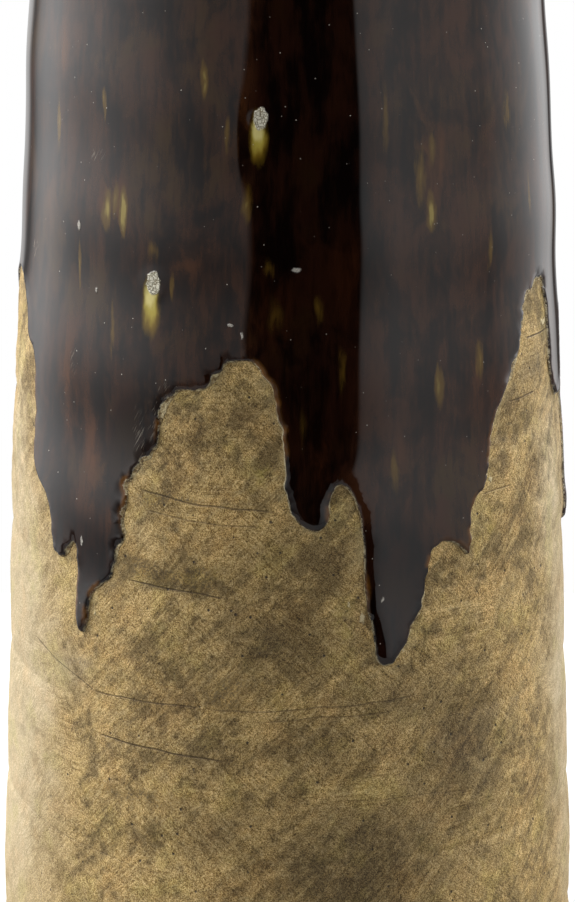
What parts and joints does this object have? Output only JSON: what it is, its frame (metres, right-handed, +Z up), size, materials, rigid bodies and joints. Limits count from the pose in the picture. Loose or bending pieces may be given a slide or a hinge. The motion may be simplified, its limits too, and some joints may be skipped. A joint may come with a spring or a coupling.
{
  "type": "stoneware vase",
  "caption": "Tall tapering stoneware bottle vase, bare clay below and a dark glossy glaze above that has run down in long drips, with a rounded shoulder and flared lip.",
  "frame": {"origin": "centre of the foot on the surface that the vase stands on", "axes": "+Z up along the vase's turning axis towards the mouth; -Y is the side with the two long glaze runs, and the glaze line makes the only difference between directions"},
  "size_m": [0.236, 0.236, 0.5364],
  "materials": {
    "stoneware": "bare, matt, wiped with a darker stain",
    "tortoise_glaze": "high gloss, mottled with amber",
    "liner_glaze": "gloss"
  },
  "bodies": {
    "root": {"base_slab": "stoneware", "coil_course_1": "stoneware", "coil_course_2": "stoneware", "coil_course_3": "stoneware", "coil_course_4": "stoneware", "coil_course_5": "stoneware", "coil_course_6": "stoneware", "coil_course_7": "stoneware", "shoulder_course": "stoneware", "neck_collar": "stoneware", "lip_collar": "stoneware", "outer_glaze": "tortoise_glaze", "inner_glaze": "liner_glaze"}
  },
  "joints": []
}
